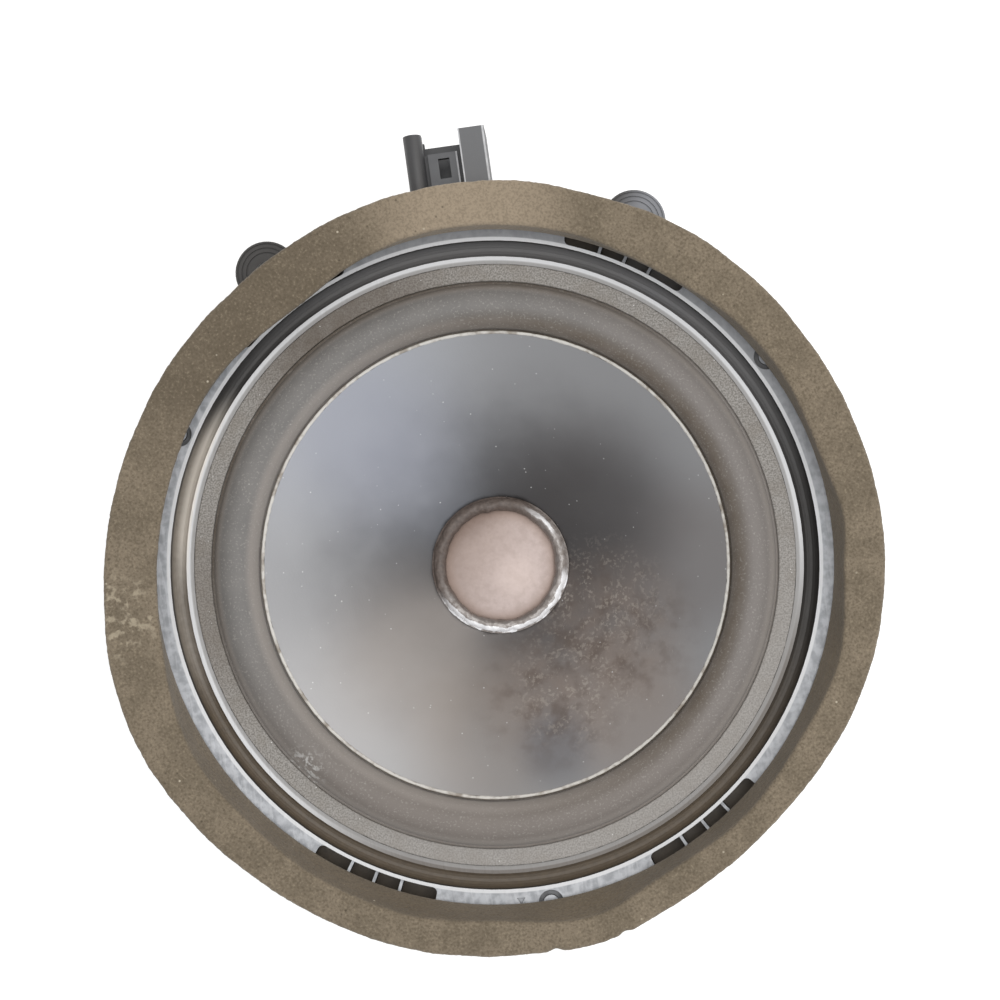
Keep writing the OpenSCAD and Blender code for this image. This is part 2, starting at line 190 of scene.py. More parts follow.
def place(piece, body, slot, *nodes):
    """The piece rides on a body in place of CAD nodes; slot is not used."""
    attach(piece, body)
    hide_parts(*nodes)


def flex(piece, slot, fixed_r, moving_r, *nodes):
    """Bakes the piece where it stands and works out each point's share between the frame, still at
    fixed_r, and the cone, moving at moving_r, though nothing uses it; hides the CAD nodes.
    """
    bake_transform(piece)
    co = np.array([v.co for v in piece.data.vertices])
    share = (fixed_r - np.hypot(co[:, 0], co[:, 1]) / MM) / (fixed_r - moving_r)
    share = np.clip(share, 0, 1)
    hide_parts(*nodes)


# ---------------------------------------------------------------- material tools

def screen(red, green, blue):
    """Linear colour of an 8-bit screen colour."""
    return tuple(((c / 255 + 0.055) / 1.055) ** 2.4 for c in (red, green, blue)) + (1.0,)


class Finish:
    """A Principled material, with short calls for the nodes that feed it. Sizes are in millimetres."""

    def __init__(self, name, **constants):
        self.material = bpy.data.materials.new(name)
        self.material.use_nodes = True
        self.tree = self.material.node_tree
        self.shader = self.tree.nodes["Principled BSDF"]
        self.place = self.node("TexCoord").outputs["Object"]
        self.last_bump = None
        for key, value in constants.items():
            socket = key.replace("_", " ").title().replace("Ior", "IOR")
            self.shader.inputs[socket].default_value = value

    def node(self, kind, inputs=(), **settings):
        made = self.tree.nodes.new("ShaderNode" + kind)
        for key, value in settings.items():
            setattr(made, key, value)
        for key, value in dict(inputs).items():
            self.feed(made.inputs[key], value)
        return made

    def feed(self, socket, value):
        if isinstance(value, bpy.types.NodeSocket):
            self.tree.links.new(value, socket)
        else:
            socket.default_value = value

    def math(self, operation, *values):
        return self.node("Math", enumerate(values), operation=operation).outputs[0]

    def grain(self, size, detail=2.0, stretch=(1, 1, 1), seed=0.0):
        """Noise from 0 to 1 with features of that size, drawn out along an axis by stretch."""
        mapping = self.node("Mapping", {
            "Vector": self.place,
            "Location": (seed, seed * 0.7, seed * 1.3),
            "Scale": tuple(1 / s for s in stretch),
        })
        inputs = {"Vector": mapping.outputs[0], "Scale": 1 / (size * MM), "Detail": detail}
        return self.node("TexNoise", inputs).outputs["Fac"]

    def specks(self, size, share, seed=0.0):
        """Small dots, 1 at their middle, in cells of that size; a dot fills that share of its cell."""
        spot = self.node("Mapping", {"Vector": self.place, "Location": (seed, seed, seed)})
        cells = self.node("TexVoronoi", {"Vector": spot.outputs[0], "Scale": 1 / (size * MM)})
        return self.ramp(cells.outputs["Distance"], share, share * 0.4)

    def ramp(self, value, low, high):
        """Smooth step from 0 at low to 1 at high."""
        inputs = {"Value": value, "From Min": low, "From Max": high}
        return self.node("MapRange", inputs, interpolation_type="SMOOTHSTEP").outputs[0]

    def scaled(self, value, low, high):
        """A value from 0 to 1 spread over low to high."""
        return self.node("MapRange", {"Value": value, "To Min": low, "To Max": high}).outputs[0]

    def tint(self, share, first, second):
        """Colour that goes from first to second with share."""
        return self.node("Mix", {0: share, 6: first, 7: second}, data_type="RGBA").outputs[2]

    def axis(self, which):
        """X, Y or Z of the shaded point, in millimetres."""
        split = self.node("SeparateXYZ", {0: self.place})
        return self.math("DIVIDE", split.outputs[which], MM)

    def radius(self):
        """Distance of the shaded point from the axis, in millimetres."""
        flat = self.node("VectorMath", {0: self.place, 1: (1000, 1000, 0)}, operation="MULTIPLY")
        return self.node("VectorMath", {0: flat.outputs[0]}, operation="LENGTH").outputs["Value"]

    def towards(self, image_degrees):
        """Distance of the shaded point along a direction given by its image angle, in millimetres."""
        way = tuple(direction(math.radians(image_degrees)) / MM)
        along = self.node("VectorMath", {0: self.place, 1: way}, operation="DOT_PRODUCT")
        return along.outputs["Value"]

    def near(self, image_degrees, distance, core, fade):
        """1 within core of a point given by direction in view and distance from the axis, 0 past fade."""
        spot = tuple(direction(math.radians(image_degrees)) * distance * MM)
        flat = self.node("VectorMath", {0: self.place, 1: (1, 1, 0)}, operation="MULTIPLY")
        inputs = {0: flat.outputs[0], 1: spot}
        away = self.node("VectorMath", inputs, operation="DISTANCE").outputs["Value"]
        return self.ramp(away, fade * MM, core * MM)

    def facing_up(self, low, high):
        """1 where the normal's Z is past high, 0 where it is under low."""
        normal = self.node("NewGeometry").outputs["Normal"]
        return self.ramp(self.node("SeparateXYZ", {0: normal}).outputs[2], low, high)

    def colour(self, value):
        self.feed(self.shader.inputs["Base Color"], value)

    def rough(self, value):
        self.feed(self.shader.inputs["Roughness"], value)

    def bump(self, height, depth, strength=1.0):
        """Adds relief of that depth in millimetres."""
        inputs = {"Height": height, "Distance": depth * MM, "Strength": strength}
        if self.last_bump:
            inputs["Normal"] = self.last_bump
        self.last_bump = self.node("Bump", inputs).outputs[0]
        self.feed(self.shader.inputs["Normal"], self.last_bump)

    def both(self, first, second):
        return self.math("MULTIPLY", first, second)

    def either(self, first, second):
        return self.math("MAXIMUM", first, second)


def wear(piece, finish):
    """Gives a piece a finish."""
    piece.data.materials.clear()
    piece.data.materials.append(finish.material)


def soften(piece, width):
    """Rounds a CAD node's sharp edges by a width in millimetres."""
    weld = piece.modifiers.new("weld", "WELD")
    weld.merge_threshold = 1e-6
    bevel = piece.modifiers.new("bevel", "BEVEL")
    bevel.width = width * MM
    bevel.segments = 3
    bevel.limit_method = "ANGLE"
    bevel.angle_limit = math.radians(35)
    bevel.harden_normals = True


# ---------------------------------------------------------------- finishes

def foam_finish():
    """Open-cell foam: olive brown, with small dark cells, pale scuffs, and painted shade on the inner
    wall and towards the upper left.
    """
    f = Finish("foam_cells", roughness=0.95, sheen_weight=0.15, sheen_roughness=0.6,
               specular_ior_level=0.15)
    blotch = f.ramp(f.grain(9, 3), 0.35, 0.65)
    fine = f.grain(0.55, 3)
    skin = f.tint(blotch, screen(114, 103, 87), screen(127, 115, 98))
    # Painted shade: the top face darker towards the upper left.
    skin = f.tint(f.both(f.near(136, 85, 20, 44), 0.6), skin, screen(92, 82, 68))
    skin = f.tint(f.both(f.ramp(fine, 0.52, 0.34), 0.55), skin, screen(88, 78, 63))
    skin = f.tint(f.both(f.ramp(fine, 0.55, 0.72), 0.4), skin, screen(156, 143, 121))
    pale = f.both(f.near(94, 84, 8, 30), f.scaled(f.ramp(fine, 0.38, 0.6), 0.55, 0.8))
    skin = f.tint(pale, skin, screen(159, 144, 124))
    # Painted shade on the inner wall, deepest towards the lower right.
    wall = f.both(f.ramp(f.axis("Z"), 17.6, 16.2), f.ramp(f.radius(), 85, 83.4))
    wall = f.both(wall, f.scaled(f.ramp(f.towards(-40), -50, 40), 0.1, 0.5))
    skin = f.tint(wall, skin, screen(90, 78, 60))
    pits = f.both(f.specks(2.4, 0.15, seed=6), f.ramp(f.grain(7, 2, seed=11), 0.46, 0.58))
    skin = f.tint(f.both(pits, 0.6), skin, screen(70, 62, 50))
    scuff = f.both(f.near(188, 87, 5, 13), f.ramp(f.grain(1.8, 4, seed=2), 0.5, 0.66))
    skin = f.tint(f.both(scuff, 0.55), skin, screen(186, 174, 152))
    dots = f.both(f.specks(4.5, 0.08, seed=1), f.ramp(f.grain(6, 2, seed=5), 0.5, 0.6))
    skin = f.tint(f.both(dots, 0.8), skin, screen(196, 186, 166))
    f.colour(skin)
    f.bump(fine, 0.22)
    f.bump(f.grain(0.3, 2), 0.08)
    return f


def basket_finish():
    """Filled dark plastic whose forward faces are rubbed and hazed to a light blue-grey with painted
    sheen, darker towards the top as painted shade; painted highlights on the rim, the shoulder's edge and
    the channel's left, and painted light on the right ear and in the channel.
    """
    f = Finish("basket_plastic_haze_and_sheen", specular_ior_level=0.5)
    height = f.axis("Z")
    radius = f.radius()
    mottle = f.grain(2.2, 4, seed=3)
    scratch = f.ramp(f.grain(0.9, 3, stretch=(1, 7, 1), seed=4), 0.45, 0.7)
    dark = f.tint(f.grain(5, 3), screen(52, 50, 49), screen(66, 64, 62))
    # Painted sheen: the right ear's upward faces lighter.
    right_ear_sheen = f.near(60, 90, 12, 20)
    dark = f.tint(f.both(right_ear_sheen, f.facing_up(0.8, 0.95)), dark, screen(132, 134, 140))
    # Haze and painted sheen on the forward faces: light blue-grey, mottled, with lighter scratches.
    haze_and_sheen = f.tint(f.ramp(mottle, 0.35, 0.65), screen(158, 161, 166), screen(194, 197, 202))
    haze_and_sheen = f.tint(f.both(scratch, 0.4), haze_and_sheen, screen(210, 212, 216))
    # Painted shade: the haze and sheen darker towards the top.
    upper = f.both(f.ramp(f.towards(75), 10, 74), 0.75)
    haze_and_sheen = f.tint(upper, haze_and_sheen, screen(138, 139, 142))
    # The forward faces, by height and by facing up, that take the haze and painted sheen.
    front = f.both(f.ramp(height, 5.7, 5.95), f.facing_up(0.75, 0.95))
    front = f.both(front, f.ramp(radius, 86.3, 85.9))
    shoulder = f.ramp(radius, 75.5, 74.5)
    haze_and_sheen = f.tint(f.both(shoulder, 0.85), haze_and_sheen, screen(160, 158, 156))
    # Painted highlight: a white line along the shoulder's outer edge.
    edge = f.both(f.ramp(radius, 72.1, 72.6), shoulder)
    haze_and_sheen = f.tint(f.both(edge, 0.8), haze_and_sheen, screen(226, 227, 229))
    soiled = f.both(f.both(shoulder, f.ramp(f.towards(298), 20, 56)),
                    f.scaled(f.ramp(radius, 72.1, 72.6), 0.35, 0.9))
    haze_and_sheen = f.tint(soiled, haze_and_sheen, screen(96, 88, 80))
    # Painted highlight along the top of the rim.
    rim = f.both(f.ramp(radius, 76.7, 76.9), f.ramp(radius, 77.9, 77.6))
    haze_and_sheen = f.tint(f.both(rim, 0.9), haze_and_sheen, screen(228, 229, 231))
    skin = f.tint(front, dark, haze_and_sheen)
    channel = f.both(f.ramp(height, 6, 4.5),
                     f.both(f.ramp(radius, 71.6, 72.6), f.ramp(radius, 77.4, 76.9)))
    grit = f.scaled(f.grain(1.4, 4, seed=7), 0.5, 1.1)
    dust = f.both(f.both(channel, grit), f.ramp(f.towards(255), -18, 50))
    skin = f.tint(f.both(dust, 0.8), skin, screen(122, 108, 90))
    lit = f.both(channel, f.ramp(f.towards(80), 20, 70))
    skin = f.tint(f.both(lit, 0.8), skin, screen(118, 117, 117))
    # Dust and painted light: the channel lighter at the left, with a painted highlight on its
    # shoulder-side wall there.
    left = f.both(f.both(channel, grit), f.near(178, 74, 20, 40))
    skin = f.tint(f.both(left, 0.8), skin, screen(160, 152, 142))
    gleam = f.both(f.ramp(radius, 72.4, 73.2),
                   f.both(f.ramp(radius, 77, 75), f.near(166, 74, 10, 28)))
    skin = f.tint(f.both(gleam, 0.6), skin, screen(246, 238, 226))
    pocket = f.both(f.both(f.ramp(radius, 77.9, 78.2), f.ramp(radius, 84.6, 84.2)),
                    f.both(f.ramp(height, 5.4, 5), f.facing_up(0.2, 0.5)))
    skin = f.tint(f.both(f.both(pocket, grit), 0.6), skin, screen(118, 105, 88))
    f.colour(skin)
    f.rough(f.scaled(mottle, 0.38, 0.62))
    f.bump(f.grain(0.5, 3, seed=1), 0.03)
    f.bump(f.both(scratch, front), 0.04)
    return f


def surround_finish():
    """Matt grey rubber, with brown dust and painted shade in the creases at both sides of the roll,
    painted light on its right side, and light specks.
    """
    f = Finish("surround_rubber_dusty", specular_ior_level=0.35, sheen_weight=0.1, sheen_roughness=0.5)
    radius = f.radius()
    cloud = f.grain(7, 3)
    skin = f.tint(cloud, screen(104, 102, 100), screen(126, 123, 120))
    skin = f.tint(f.both(f.ramp(f.towards(-90), 10, 60), 0.6), skin, screen(124, 114, 106))
    # Painted light: the roll lighter and pinker towards the right.
    skin = f.tint(f.both(f.ramp(f.towards(10), 0, 62), 0.5), skin, screen(128, 120, 115))
    # Brown dust and painted shade in the creases: the inner crease towards the right, the outer towards
    # the upper left.
    inner = f.both(f.ramp(radius, 61.4, 57.4), f.ramp(f.towards(20), -30, 40))
    outer = f.both(f.ramp(radius, 64.8, 66.8), f.ramp(f.towards(125), -5, 50))
    crease = f.either(inner, outer)
    bare = f.either(f.ramp(radius, 64.2, 66.0), f.ramp(radius, 59.4, 57.4))
    skin = f.tint(f.both(bare, 0.75), skin, screen(152, 145, 139))
    crease_dust_and_shade = f.both(crease, f.scaled(f.grain(4, 4, seed=6), 0.5, 1.0))
    skin = f.tint(crease_dust_and_shade, skin, screen(92, 81, 68))
    fleck = f.ramp(f.grain(0.5, 4, seed=10), 0.54, 0.72)
    skin = f.tint(f.both(fleck, 0.4), skin, screen(168, 164, 158))
    dots = f.both(f.specks(3.6, 0.07, seed=3), f.ramp(f.grain(8, 2, seed=8), 0.48, 0.64))
    skin = f.tint(f.both(dots, 0.6), skin, screen(190, 188, 182))
    scrape = f.both(f.near(227, 66.4, 1.5, 7), f.ramp(f.grain(1.4, 5, seed=9), 0.5, 0.6))
    skin = f.tint(f.both(scrape, 0.7), skin, screen(206, 205, 202))
    f.colour(skin)
    f.rough(f.scaled(cloud, 0.5, 0.72))
    f.bump(f.grain(0.6, 3), 0.03)
    return f


def trim_finish():
    """Pressed fibre board: grey, densely speckled, with glittering grains."""
    f = Finish("gasket_board_speckled", specular_ior_level=0.4)
    fibre = f.grain(0.4, 4)
    skin = f.tint(f.ramp(fibre, 0.34, 0.66), screen(122, 118, 113), screen(164, 160, 155))
    skin = f.tint(f.both(f.ramp(f.grain(5, 3, seed=2), 0.4, 0.7), 0.4), skin, screen(130, 123, 114))
    soiled = f.both(f.either(f.near(122, 69, 8, 36), f.both(f.near(190, 69, 8, 30), 0.5)),
                    f.scaled(f.grain(3, 4, seed=6), 0.4, 1.1))
    skin = f.tint(f.both(soiled, 0.85), skin, screen(94, 84, 74))
    # Painted light: the board lighter towards the lower right.
    skin = f.tint(f.both(f.ramp(f.towards(-60), 10, 60), 0.35), skin, screen(168, 164, 161))
    spark = f.both(f.specks(1.2, 0.13), f.ramp(f.grain(2, 2, seed=4), 0.56, 0.64))
    f.colour(f.tint(spark, skin, screen(238, 238, 236)))
    f.rough(f.scaled(spark, 0.75, 0.3))
    f.bump(fibre, 0.07)
    return f


def cone_finish():
    """Satin aluminium, with painted reflections in sectors, a painted dark reflection near the cap,
    painted shade towards the neck, and brown grime low on the right.
    """
    f = Finish("cone_aluminium_worn", metallic=1.0)
    cloud = f.grain(14, 3)
    # Painted shade: the cone darker towards the neck, lighter outwards.
    reach = f.math("ADD", f.radius(), f.scaled(f.grain(9, 2, seed=3), -5, 5))
    neck_shade_ramp = f.ramp(reach, 14, 54)
    skin = f.tint(neck_shade_ramp, screen(100, 100, 102), screen(166, 166, 168))
    skin = f.tint(f.both(f.both(cloud, neck_shade_ramp), 0.3), skin, screen(172, 172, 174))
    # Painted reflections in sectors: bluish light at the upper left, warm light at the lower left, darker
    # grey at the right, and warmer, lighter tones low on the right and at the bottom.
    skin = f.tint(f.both(f.near(135, 46, 6, 34), 0.5), skin, screen(132, 133, 143))
    skin = f.tint(f.both(f.near(228, 28, 8, 30), 0.6), skin, screen(150, 144, 140))
    skin = f.tint(f.both(f.near(2, 46, 8, 26), 0.5), skin, screen(134, 127, 124))
    skin = f.tint(f.both(f.near(-48, 48, 6, 26), 0.6), skin, screen(170, 158, 150))
    skin = f.tint(f.both(f.near(-92, 42, 8, 26), 0.45), skin, screen(156, 146, 138))
    # Painted dark reflection from the cap towards the upper right.
    film = f.near(34, 25, 8, 31)
    skin = f.tint(f.both(film, 0.75), skin, screen(95, 92, 92))
    grime = f.either(f.near(-32, 32, 6, 26), f.near(-66, 34, 4, 24))
    patch = f.both(grime, f.scaled(f.grain(6, 4, seed=5), 0.2, 1.1))
    skin = f.tint(f.both(patch, 0.85), skin, screen(158, 144, 134))
    cool = f.near(-72, 46, 3, 13)
    skin = f.tint(f.both(cool, 0.5), skin, screen(114, 118, 126))
    smudge = f.both(grime, f.ramp(f.grain(4.5, 5, seed=14), 0.42, 0.7))
    skin = f.tint(f.both(smudge, 0.5), skin, screen(104, 90, 81))
    crumb = f.both(f.ramp(f.grain(0.9, 5, seed=6), 0.5, 0.62),
                   f.ramp(f.grain(4, 4, seed=12), 0.38, 0.58))
    crumb = f.both(crumb, f.either(f.near(-20, 27, 4, 20), f.near(-58, 34, 4, 20)))
    scratch = f.ramp(f.grain(0.6, 3, stretch=(1, 7, 1), seed=16), 0.64, 0.74)
    scratch = f.both(scratch, f.near(-40, 34, 6, 24))
    pale = f.either(f.both(crumb, 0.42), f.both(scratch, 0.55))
    skin = f.tint(pale, skin, screen(204, 196, 186))
    dots = f.both(f.specks(2.6, 0.09, seed=7), f.ramp(f.grain(4, 2, seed=8), 0.44, 0.56))
    skin = f.tint(f.both(dots, 0.75), skin, screen(232, 232, 232))
    f.colour(skin)
    dull = f.either(f.both(patch, 0.9), f.either(pale, dots))
    f.rough(f.scaled(dull, 0.4, 0.72))
    f.bump(f.grain(0.5, 3, stretch=(1, 1, 3)), 0.012)
    f.bump(f.either(pale, dots), 0.015)
    return f


def bead_finish():
    """Dried pale glue, dusty in places."""
    f = Finish("edge_glue", roughness=0.5, specular_ior_level=0.4)
    radius = f.radius()
    stain = f.ramp(f.grain(3, 4), 0.46, 0.7)
    pale = f.tint(stain, screen(208, 205, 199), screen(152, 144, 134))
    f.colour(f.tint(f.ramp(radius, 55.75, 55.92), pale, screen(112, 101, 86)))
    f.bump(f.grain(0.5, 3), 0.06)
    return f


def cap_finish():
    """Fine doped cloth: pinkish beige, a little mottled, lighter towards the lower right as painted
    light, with a painted highlight near the middle, and dusty and in painted shade at the rim, most at
    the upper left.
    """
    f = Finish("cap_cloth_doped", roughness=0.78, specular_ior_level=0.3, sheen_weight=0.2)
    skin = f.tint(f.grain(4, 3), screen(168, 151, 144), screen(182, 164, 156))
    # Painted light: the cloth lighter towards the lower right.
    skin = f.tint(f.ramp(f.towards(-30), -13, 7), skin, screen(208, 192, 187))
    # Dust and painted shade: darker towards the rim.
    skin = f.tint(f.both(f.ramp(f.radius(), 10.5, 14.2), 0.7), skin, screen(158, 134, 120))
    skin = f.tint(f.both(f.grain(0.7, 4, seed=7), 0.4), skin, screen(160, 142, 132))
    blot = f.both(f.ramp(f.grain(1.9, 5, seed=9), 0.4, 0.7), 0.22)
    skin = f.tint(blot, skin, screen(150, 132, 122))
    # Painted highlight near the middle, a little to the lower right.
    skin = f.tint(f.both(f.near(-35, 5, 1, 8), 0.3), skin, screen(232, 214, 206))
    # Dust and painted shade: darker and browner towards the upper left.
    soiled = f.both(f.ramp(f.towards(128), 7, 14), f.scaled(f.grain(1.2, 4, seed=3), 0.4, 1.1))
    skin = f.tint(f.both(soiled, 0.7), skin, screen(118, 100, 91))
    f.colour(skin)
    warp = f.node("TexWave", {"Vector": f.place, "Scale": 1500.0}, bands_direction="X")
    weft = f.node("TexWave", {"Vector": f.place, "Scale": 1500.0}, bands_direction="Y")
    f.bump(f.either(warp.outputs["Fac"], weft.outputs["Fac"]), 0.02, 0.5)
    f.bump(f.grain(0.8, 3), 0.04)
    return f


def glue_finish():
    """Glossy ring glue: smoky, dark brown on one side with dirt and painted shade, and with painted white
    highlights in arcs.
    """
    f = Finish("ring_glue_glossy", specular_ior_level=0.6, coat_roughness=0.04)
    lump = f.grain(2.2, 3)
    # The upper-left side, which takes dirt and painted shade.
    side = f.ramp(f.towards(132), -4, 9)
    skin = f.tint(f.ramp(lump, 0.35, 0.65), screen(128, 119, 113), screen(162, 155, 151))
    wobble = f.math("ADD", f.radius(), f.scaled(f.grain(2.5, 3, seed=3), -1.0, 1.0))
    seam = f.both(f.ramp(wobble, 14.9, 14.5), 0.7)
    skin = f.tint(seam, skin, screen(84, 74, 69))
    # Painted white highlights: an arc low down and a short one at the upper right.
    low_highlight_arc = f.both(f.ramp(wobble, 15.7, 15.9),
                     f.both(f.ramp(wobble, 17.1, 16.8), f.ramp(f.towards(-78), 3, 7)))
    top_highlight_arc = f.both(f.ramp(wobble, 14.9, 15.1),
                     f.both(f.ramp(wobble, 16.2, 15.9), f.near(50, 15.5, 3, 6)))
    skin = f.tint(f.both(f.either(low_highlight_arc, top_highlight_arc), 0.9), skin, screen(250, 250, 252))
    # Brown dirt and painted shade for the upper-left side.
    dirt_and_shade = f.tint(f.grain(0.7, 4, seed=5), screen(58, 49, 44), screen(112, 98, 90))
    f.colour(f.tint(f.both(side, 0.95), skin, dirt_and_shade))
    f.rough(f.either(f.scaled(lump, 0.05, 0.18), f.both(side, 0.6)))
    f.feed(f.shader.inputs["Coat Weight"], f.scaled(side, 0.9, 0.1))
    f.bump(f.grain(2.0, 2, seed=1), 0.4)
    return f


def spider_finish():
    """Resin-stiffened cloth with its weave showing."""
    f = Finish("spider_cloth_weave", roughness=0.85, sheen_weight=0.2)
    warp = f.node("TexWave", {"Vector": f.place, "Scale": 420.0}, bands_direction="X").outputs["Fac"]
    weft = f.node("TexWave", {"Vector": f.place, "Scale": 420.0}, bands_direction="Y").outputs["Fac"]
    weave = f.either(warp, weft)
    skin = f.tint(weave, screen(150, 116, 62), screen(206, 170, 104))
    f.colour(f.tint(f.both(f.grain(6, 3), 0.4), skin, screen(160, 122, 70)))
    f.bump(weave, 0.12)
    return f


def steel_finish(name, first, second):
    """Zinc-plated steel with turning marks, spangle and a few rust blooms."""
    f = Finish(name, metallic=1.0)
    rings = f.node("TexWave", {"Vector": f.place, "Scale": 900.0, "Distortion": 1.5, "Detail": 2.0},
                   wave_type="RINGS", rings_direction="Z").outputs["Fac"]
    spangle = f.grain(3, 3)
    skin = f.tint(spangle, first, second)
    bloom = f.both(f.ramp(f.grain(8, 4, seed=4), 0.6, 0.72), 0.6)
    f.colour(f.tint(bloom, skin, screen(120, 92, 62)))
    f.rough(f.scaled(spangle, 0.28, 0.5))
    f.bump(rings, 0.01, 0.5)
    f.bump(f.grain(0.7, 3), 0.02)
    return f


def ferrite_finish():
    """Sintered ferrite: charcoal, matt, faintly pitted and ground."""
    f = Finish("ferrite_sintered", roughness=0.62, specular_ior_level=0.6)
    skin = f.tint(f.grain(4, 4), screen(46, 46, 49), screen(70, 70, 73))
    pit = f.ramp(f.grain(0.9, 3, seed=2), 0.64, 0.72)
    f.colour(f.tint(pit, skin, screen(24, 24, 26)))
    f.bump(f.grain(0.5, 4), 0.05)
    f.bump(f.math("SUBTRACT", 1.0, pit), 0.1)
    return f


def connector_finish():
    """Moulded plug plastic: fine spark-eroded texture, with painted light on its upward faces and its
    right rail, painted shade on its left rail, and painted glints along the edges of the rails and the
    panel.
    """
    f = Finish("connector_plastic_moulded", specular_ior_level=0.6)
    mottle = f.grain(1.6, 4)
    skin = f.tint(mottle, screen(58, 58, 60), screen(74, 75, 78))
    # Painted light: upward faces near the top lighter.
    skin = f.tint(f.both(f.facing_up(0.7, 0.95), f.ramp(f.axis("Z"), 3, 4.1)), skin, screen(84, 85, 88))
    along = f.axis("X")
    # Painted glints along the outer and inner edges of the rails' tops.
    outer = f.both(f.ramp(along, 11.1, 11.3), f.ramp(along, 11.75, 11.6))
    inner = f.both(f.ramp(along, 5.4, 5.5), f.ramp(along, 5.9, 5.75))
    rail_top = f.ramp(f.axis("Z"), 6.0, 6.3)
    edge = f.both(f.both(f.either(outer, inner), rail_top), f.scaled(mottle, 0.3, 1.0))
    # Painted light on the right rail's top, and painted shade on the left rail.
    right_rail_light = f.both(f.ramp(along, 5.4, 5.6), rail_top)
    skin = f.tint(f.both(right_rail_light, f.scaled(mottle, 0.4, 1.0)), skin, screen(100, 101, 103))
    left_rail_shade = f.ramp(along, -3.0, -4.6)
    skin = f.tint(f.both(left_rail_shade, 0.7), skin, screen(56, 55, 55))
    skin = f.tint(edge, skin, screen(222, 223, 226))
    glint = f.both(f.both(f.ramp(along, 4.1, 4.3), f.ramp(along, 4.62, 4.5)),
                   f.ramp(f.axis("Z"), 3.9, 4.1))
    skin = f.tint(f.both(glint, f.scaled(mottle, 0.2, 1.0)), skin, screen(206, 207, 210))
    f.colour(skin)
    f.rough(f.scaled(mottle, 0.36, 0.58))
    f.bump(f.grain(0.28, 3), 0.025)
    f.bump(f.grain(3, 2, stretch=(1, 8, 1)), 0.02)
    return f


def plain_grain_finish(name, first, second, size, depth, **constants):
    """Two mottled colours with relief of the same grain."""
    f = Finish(name, **constants)
    mottle = f.grain(size, 3)
    f.colour(f.tint(f.ramp(mottle, 0.35, 0.65), first, second))
    f.bump(f.grain(size / 3, 3, seed=1), depth)
    return f


def turns_finish():
    """Enamelled copper wire, its turns one above another."""
    f = Finish("copper_wire_turns", metallic=1.0, roughness=0.28)
    wire = f.node("TexWave", {"Vector": f.place, "Scale": 640.0}, bands_direction="Z").outputs["Fac"]
    skin = f.tint(f.grain(2, 2), screen(150, 74, 34), screen(190, 104, 52))
    f.colour(f.tint(wire, screen(90, 44, 24), skin))
    f.bump(wire, 0.1)
    return f


def braid_finish():
    """Tinned copper braid."""
    f = Finish("tinsel_braid_strands", metallic=1.0, roughness=0.38)
    strand = f.node("TexWave", {"Vector": f.place, "Scale": 900.0, "Distortion": 1.0},
                    bands_direction="DIAGONAL").outputs["Fac"]
    f.colour(f.tint(strand, screen(112, 78, 46), screen(206, 164, 110)))
    f.bump(strand, 0.08)
    return f


# ---------------------------------------------------------------- pieces

# Humps of the foam ring's outline in view: height in millimetres, centre and width in degrees
OUTER_HUMPS = [
    (0.9, 5, 17), (-0.7, 75, 8), (-1.3, 128, 28), (3.4, 206, 26), (1.7, 257, 28), (-1.4, 314, 16),
    (1.0, 286, 7), (0.6, 345, 12), (-0.8, 279, 0.9), (-0.6, 289.5, 0.7),
]
FRONT_HUMPS = [
    (2.2, 8, 8), (1.0, 35, 16), (-3.4, 128, 16), (-1.0, 165, 18), (-1.1, 61, 11), (3.2, 212, 14),
    (4.1, 240, 20), (2.9, 262, 14), (5.1, 285, 12), (3.1, 314, 18), (3.5, 345, 14),
]
FOOT_HUMPS = [(-1.0, 70, 40), (-1.8, 132, 26)]


def humps(base, bumps, degrees):
    """A radius with smooth humps added round the angle."""
    return base + sum(height * bump_at(degrees, centre, width) for height, centre, width in bumps)


def foam_sides(degrees):
    """Inner radius at the foot, inner radius at the front edge and outer radius, by angle in view."""
    return (humps(80.2, FOOT_HUMPS, degrees), humps(78.4, FRONT_HUMPS, degrees),
            humps(89.2, OUTER_HUMPS, degrees))


def foam_section(rounding, steps):
    """Points round the section: share across, share up, and the rounding's offset across and up."""
    corners = [(0, 0, 180), (1, 0, 270), (1, 1, 0), (0, 1, 90)]
    curves = []
    for across, up, first in corners:
        middle = (rounding * (1 - 2 * across), rounding * (1 - 2 * up))
        curves.append([(across, up, dx, dz) for dx, dz in arc(middle, rounding, first, first + 90, 5)])
    rows = []
    for curve, following in zip(curves, curves[1:] + curves[:1]):
        rows += curve + line(curve[-1], following[0], steps + 1)[1:]
    return np.array(rows)


